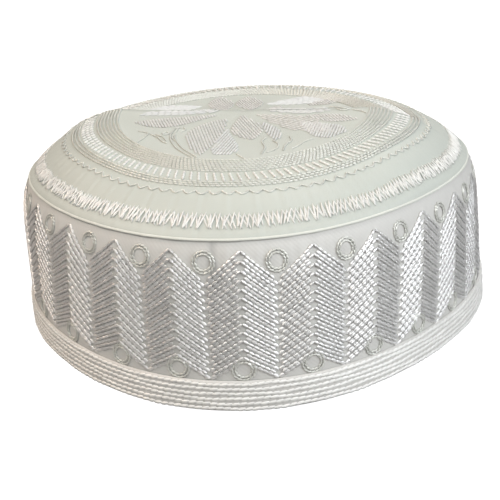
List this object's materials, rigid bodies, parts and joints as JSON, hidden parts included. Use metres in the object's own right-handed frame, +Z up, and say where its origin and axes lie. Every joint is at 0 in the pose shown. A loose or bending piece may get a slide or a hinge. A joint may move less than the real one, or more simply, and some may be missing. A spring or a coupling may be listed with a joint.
{
  "type": "prayer cap",
  "caption": "Round white brimless prayer cap: an upright embroidered cloth band with a turned hem, a piped seam and a domed top panel creased across, open below for the head.",
  "frame": {"origin": "on the surface that the cap rests on, under the middle of its bounding box", "axes": "+Z up through the crown, -Y towards the front of the cap as pictured, +X to its right in that view, along the crease"},
  "size_m": [0.1918, 0.2, 0.0798],
  "materials": {
    "band_cloth": "white satin cloth covered with white satin-stitch chevrons",
    "hem_cloth": "white cloth with parallel rows of cord-like white stitching",
    "piping_cloth": "bright white folded satin edge",
    "crown_cloth": "off-white satin with white embroidered rings and a rosette"
  },
  "bodies": {
    "root": {"side_band": "band_cloth", "hem_band": "hem_cloth", "seam_piping": "piping_cloth", "crown_panel": "crown_cloth"}
  },
  "joints": []
}
